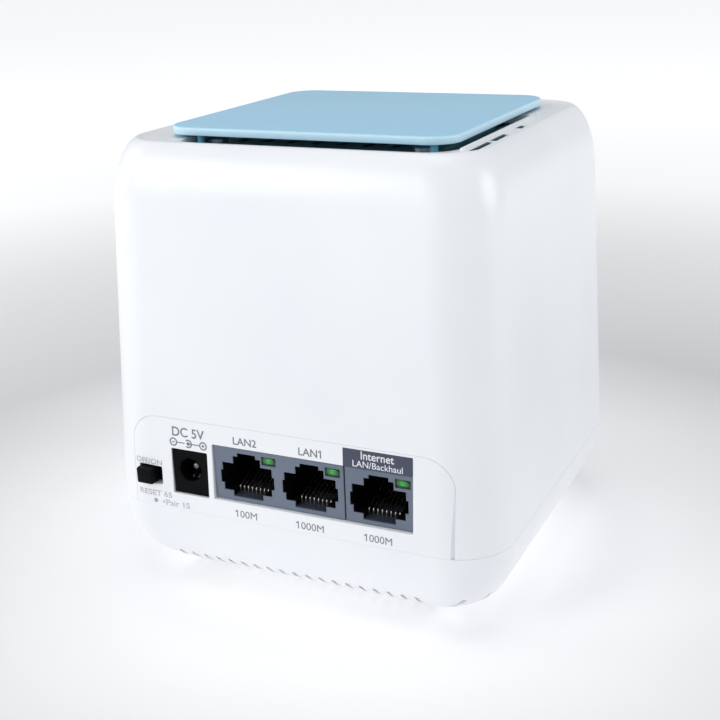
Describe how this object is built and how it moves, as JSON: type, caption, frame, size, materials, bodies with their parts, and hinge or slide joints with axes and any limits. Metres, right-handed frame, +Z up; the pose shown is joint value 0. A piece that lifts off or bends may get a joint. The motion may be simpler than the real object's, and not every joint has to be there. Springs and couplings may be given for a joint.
{
  "type": "mesh wifi node",
  "caption": "Rounded cube mesh wifi node with a floating vent plate on top, a bowl-shaped base and a rear panel with network sockets, a DC inlet, a slide switch and a reset pinhole.",
  "frame": {"origin": "under the middle of the casing, on the plane that the rubber feet stand on", "axes": "+Z up, +Y out of the port panel at the rear, +X to the power switch's side"},
  "size_m": [0.096, 0.0961, 0.104],
  "materials": {
    "white_casing": "smooth satin moulded plastic",
    "blue_plate": "light blue moulded plastic, softly glossy",
    "slate_plastic": "fine matte moulded plastic",
    "black_plastic": "satin moulded plastic",
    "chip_plastic": "dull moulding compound",
    "grey_plastic": "plain moulded plastic",
    "green_window": "clear tinted plastic",
    "clear_plastic": "clear moulded plastic",
    "circuit_board": "solder-masked glass laminate",
    "thermal_pad": "soft filled silicone",
    "rubber": "matte moulded rubber",
    "bright_metal": "bright plated metal",
    "gold_plate": "thin gold plating over nickel",
    "shield_metal": "tinned pressed steel",
    "screw_steel": "zinc-plated steel",
    "heat_sink_metal": "extruded aluminium"
  },
  "bodies": {
    "casing": {"upper_shell": "white_casing", "port_panel": "white_casing", "base_shell": "white_casing", "top_vent_frame": "white_casing", "top_plate": "blue_plate", "inner_frame": "grey_plastic", "main_board": "circuit_board", "lan_jack_housing": "slate_plastic", "internet_jack_housing": "slate_plastic", "lan2_contacts": "gold_plate", "lan1_contacts": "gold_plate", "internet_contacts": "gold_plate", "lan2_led": "green_window", "lan1_led": "green_window", "internet_led": "green_window", "dc_jack_housing": "black_plastic", "dc_jack_pin": "bright_metal", "dc_jack_spring": "bright_metal", "power_switch_case": "black_plastic", "reset_switch_case": "black_plastic", "main_chip": "chip_plastic", "thermal_pad": "thermal_pad", "heat_sink": "heat_sink_metal", "radio_shield_can": "shield_metal", "memory_chip": "chip_plastic", "power_inductor": "chip_plastic", "power_capacitor": "heat_sink_metal", "port_transformer_1": "chip_plastic", "port_transformer_2": "chip_plastic", "port_transformer_3": "chip_plastic", "antenna_1": "circuit_board", "antenna_2": "circuit_board", "antenna_3": "circuit_board", "antenna_4": "circuit_board", "status_light_pipe": "clear_plastic", "status_led": "green_window", "rubber_foot_1": "rubber", "base_screw_1": "screw_steel", "frame_screw_1": "screw_steel", "board_screw_1": "screw_steel", "rubber_foot_2": "rubber", "base_screw_2": "screw_steel", "frame_screw_2": "screw_steel", "board_screw_2": "screw_steel", "rubber_foot_3": "rubber", "base_screw_3": "screw_steel", "frame_screw_3": "screw_steel", "board_screw_3": "screw_steel", "rubber_foot_4": "rubber", "base_screw_4": "screw_steel", "frame_screw_4": "screw_steel", "board_screw_4": "screw_steel"},
    "power_switch": {"power_switch_knob": "black_plastic"},
    "reset_button": {"reset_switch_plunger": "grey_plastic"}
  },
  "joints": [
    {"name": "power_switch_slide", "type": "slide", "parent": "casing", "child": "power_switch", "axis": [-1, 0, 0], "range_m": [0, 0.0015]},
    {"name": "reset_button_push", "type": "slide", "parent": "casing", "child": "reset_button", "axis": [0, -1, 0], "range_m": [0, 0.0003], "stiffness_N_per_m": 400}
  ]
}
